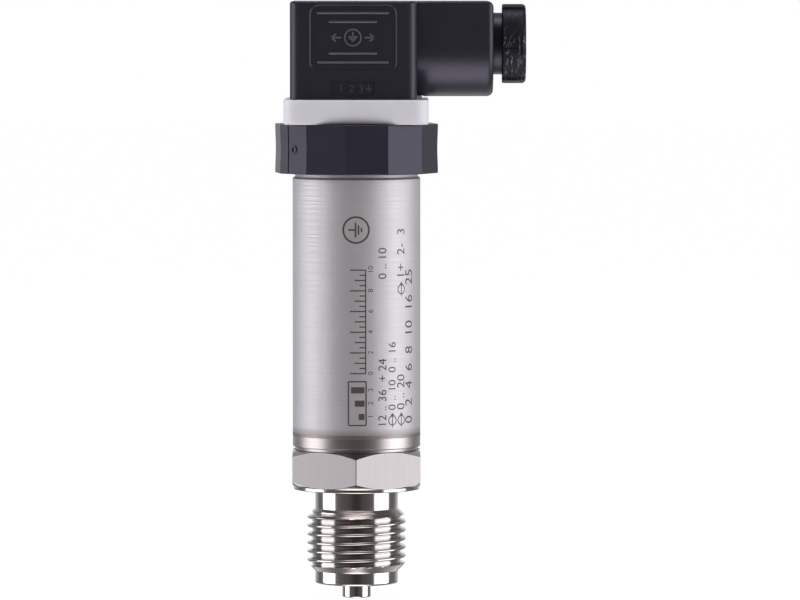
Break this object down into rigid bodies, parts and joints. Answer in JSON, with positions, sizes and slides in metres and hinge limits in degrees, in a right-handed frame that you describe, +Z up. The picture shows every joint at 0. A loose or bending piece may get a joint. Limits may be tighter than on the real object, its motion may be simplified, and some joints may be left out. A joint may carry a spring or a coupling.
{
  "type": "pressure transmitter",
  "caption": "Pressure transmitter: threaded stainless spigot with hexagon, tube case, faceted ring nut, square plug base and angled cable plug with gland.",
  "frame": {"origin": "on the case's axis, on the sealing face of the threaded spigot, where the pilot pin stands out", "axes": "+Z up the case towards the plug, +X the way the cable leaves the plug, -Y the side that the hexagon turns a corner to and that carries the framed panel"},
  "size_m": [0.0529, 0.0344, 0.1262],
  "materials": {
    "turned_steel": "bright turned stainless steel",
    "satin_tube": "satin brushed stainless steel",
    "capsule_steel": "turned stainless steel",
    "diaphragm_foil": "rolled stainless foil",
    "silicon": "polished silicon",
    "seal_rubber": "moulded rubber",
    "pin_gold": "gold plated pins",
    "bead_glass": "sealing glass",
    "wire_sleeve": "wire insulation",
    "carrier_plastic": "natural polyamide",
    "board_laminate": "green solder mask",
    "chip_epoxy": "moulded epoxy",
    "can_aluminium": "drawn aluminium",
    "resistor_body": "fired film on alumina",
    "trimmer_case": "moulded blue plastic",
    "trimmer_brass": "turned brass",
    "socket_plastic": "moulded black plastic",
    "base_polyamide": "moulded greyish white polyamide",
    "blade_tin": "tinned brass",
    "insert_brass": "turned brass",
    "ring_polyamide": "moulded black polyamide",
    "housing_polyamide": "moulded black polyamide",
    "block_polyamide": "moulded grey polyamide",
    "sleeve_brass": "stamped brass",
    "terminal_steel": "zinc plated steel",
    "seal_elastomer": "light grey elastomer",
    "grommet_rubber": "moulded rubber",
    "washer_polyamide": "punched polyamide",
    "nut_polyamide": "moulded black polyamide",
    "screw_steel": "zinc plated steel"
  },
  "bodies": {
    "case": {"process_connection": "turned_steel", "case_tube": "satin_tube", "sensor_capsule": "capsule_steel", "isolating_diaphragm": "diaphragm_foil", "sensing_die": "silicon", "sensor_o_ring": "seal_rubber", "sensor_retaining_ring": "capsule_steel", "header_pins": "pin_gold", "glass_seals": "bead_glass", "sensor_leads": "wire_sleeve", "board_carrier": "carrier_plastic", "circuit_board": "board_laminate", "amplifier_chip": "chip_epoxy", "converter_chip": "chip_epoxy", "output_transistor": "chip_epoxy", "capacitors": "can_aluminium", "resistors": "resistor_body", "zero_trimmer": "trimmer_case", "span_trimmer": "trimmer_case", "socket_strip": "socket_plastic"},
    "zero_rotor": {"zero_trimmer_rotor": "trimmer_brass"},
    "span_rotor": {"span_trimmer_rotor": "trimmer_brass"},
    "head": {"plug_base": "base_polyamide", "contact_blades": "blade_tin", "earth_blade": "blade_tin", "threaded_insert": "insert_brass", "base_o_ring": "seal_rubber"},
    "ring": {"ring_nut": "ring_polyamide"},
    "plug": {"plug_housing": "housing_polyamide", "terminal_block": "block_polyamide", "contact_sleeves": "sleeve_brass", "terminal_screws": "terminal_steel", "profile_seal": "seal_elastomer", "screw_o_ring": "seal_rubber", "cable_grommet": "grommet_rubber"},
    "screw": {"fixing_screw": "screw_steel"},
    "washer": {"thrust_washer": "washer_polyamide"},
    "nut": {"gland_nut": "nut_polyamide"}
  },
  "joints": [
    {"name": "head_lift", "type": "slide", "parent": "case", "child": "head", "axis": [0, 0, 1], "range_m": [0, 0.004]},
    {"name": "ring_nut_turn", "type": "hinge", "parent": "head", "child": "ring", "pos_m": [0, 0, 0.092], "axis": [0, 0, 1], "range_deg": [0, 1441]},
    {"name": "plug_lift", "type": "slide", "parent": "head", "child": "plug", "axis": [0, 0, 1], "range_m": [0, 0.006]},
    {"name": "fixing_screw_turn", "type": "hinge", "parent": "plug", "child": "screw", "pos_m": [0, 0, 0.121], "axis": [0, 0, 1], "range_deg": [0, 4321.3]},
    {"name": "thrust_washer_slide", "type": "slide", "parent": "plug", "child": "washer", "axis": [1, 0, 0], "range_m": [0, 0.006]},
    {"name": "gland_nut_turn", "type": "hinge", "parent": "washer", "child": "nut", "pos_m": [0.0287, 0, 0.1142], "axis": [1, 0, 0], "range_deg": [0, 1441]},
    {"name": "zero_trimmer_turn", "type": "hinge", "parent": "case", "child": "zero_rotor", "pos_m": [-0.0052, 0.0031, 0.0783], "axis": [0, 0, 1], "range_deg": [-135, 135]},
    {"name": "span_trimmer_turn", "type": "hinge", "parent": "case", "child": "span_rotor", "pos_m": [0.0052, 0.0031, 0.0783], "axis": [0, 0, 1], "range_deg": [-135, 135]}
  ],
  "couplings": [
    {"joint": "ring_nut_turn", "follows": "head_lift", "rad_per_m": 6283.2},
    {"joint": "fixing_screw_turn", "follows": "plug_lift", "rad_per_m": 12566},
    {"joint": "gland_nut_turn", "follows": "thrust_washer_slide", "rad_per_m": 4188.8}
  ]
}
